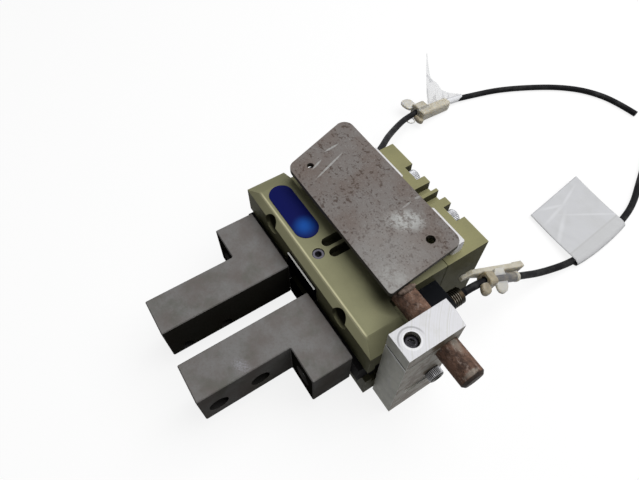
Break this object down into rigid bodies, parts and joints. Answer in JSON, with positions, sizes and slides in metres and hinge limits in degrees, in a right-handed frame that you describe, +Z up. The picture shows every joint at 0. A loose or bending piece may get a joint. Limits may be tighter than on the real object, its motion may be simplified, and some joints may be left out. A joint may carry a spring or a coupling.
{
  "type": "parallel gripper",
  "caption": "Pneumatic parallel gripper with an olive housing, L-shaped jaw fingers, position sensors on cut cables, and a plate on a clamped rod above it.",
  "frame": {"origin": "centre of the rear mounting face", "axes": "+Y out of the rear mounting face, -Y along the fingers, X along the jaw travel, +Z up towards the plate"},
  "size_m": [0.1572, 0.3153, 0.0591],
  "materials": {
    "olive_anodised": "matt olive anodised, edges worn bright",
    "milled_aluminium": "milled, fine tool marks",
    "piston_aluminium": "turned",
    "finger_steel": "dark worn tool steel, scratched",
    "hardened_steel": "ground and oiled",
    "black_screw_steel": "black oxide",
    "bright_steel": "zinc plated",
    "rusty_steel": "brown surface rust",
    "zinc_plate": "dull zinc with rust specks and scratches",
    "weld_steel": "grey weld",
    "brass_plug": "dull, flush socket plug",
    "badge_enamel": "dark blue gloss, blank",
    "white_foam": "white foam",
    "seal_rubber": "black seal rubber",
    "sensor_metal": "nickel-plated, threaded",
    "black_plastic": "black moulded",
    "cable_sheath": "black cable sheath",
    "nylon": "natural nylon",
    "label_paper": "blank white label"
  },
  "bodies": {
    "gripper_body": {"housing": "olive_anodised", "rear_cover": "olive_anodised", "cover_seal": "seal_rubber", "cover_screws": "bright_steel", "plug_screw": "brass_plug", "badge": "badge_enamel", "centre_strips": "bright_steel", "rod_seal": "seal_rubber", "clamp_block": "milled_aluminium", "clamp_screw": "bright_steel", "block_screw": "bright_steel", "support_rod": "rusty_steel", "top_plate": "zinc_plate", "weld_bead": "weld_steel", "foam_pads": "white_foam", "sensor_right": "sensor_metal", "sensor_left": "sensor_metal", "sensor_nut_right": "sensor_metal", "sensor_nut_left": "sensor_metal", "sensor_bracket_right": "black_plastic", "sensor_bracket_left": "black_plastic", "bracket_screws": "bright_steel", "cable_right": "cable_sheath", "cable_left": "cable_sheath", "cable_clip_right": "nylon", "cable_clip_left": "nylon", "flag_label_right": "label_paper", "flag_label_left": "label_paper"},
    "jaw_right": {"base_jaw_right": "hardened_steel", "finger_right": "finger_steel", "finger_screw_right": "black_screw_steel", "finger_sleeve_right": "black_screw_steel", "finger_dowel_right": "black_screw_steel", "drive_pin_right": "black_screw_steel"},
    "jaw_left": {"base_jaw_left": "hardened_steel", "finger_left": "finger_steel", "finger_screw_left": "black_screw_steel", "finger_sleeve_left": "black_screw_steel", "finger_dowel_left": "black_screw_steel", "drive_pin_left": "black_screw_steel"},
    "piston": {"piston": "piston_aluminium", "piston_seal": "seal_rubber", "cam_plate": "hardened_steel", "rod_pin": "hardened_steel"}
  },
  "joints": [
    {"name": "jaw_right_slide", "type": "slide", "parent": "gripper_body", "child": "jaw_right", "axis": [-1, 0, 0], "range_m": [0, 0.007]},
    {"name": "jaw_left_slide", "type": "slide", "parent": "gripper_body", "child": "jaw_left", "axis": [1, 0, 0], "range_m": [0, 0.007]},
    {"name": "piston_slide", "type": "slide", "parent": "gripper_body", "child": "piston", "axis": [0, 1, 0], "range_m": [0, 0.007]}
  ],
  "couplings": [
    {"joint": "jaw_left_slide", "follows": "jaw_right_slide", "ratio": 1},
    {"joint": "piston_slide", "follows": "jaw_right_slide", "ratio": 1}
  ]
}
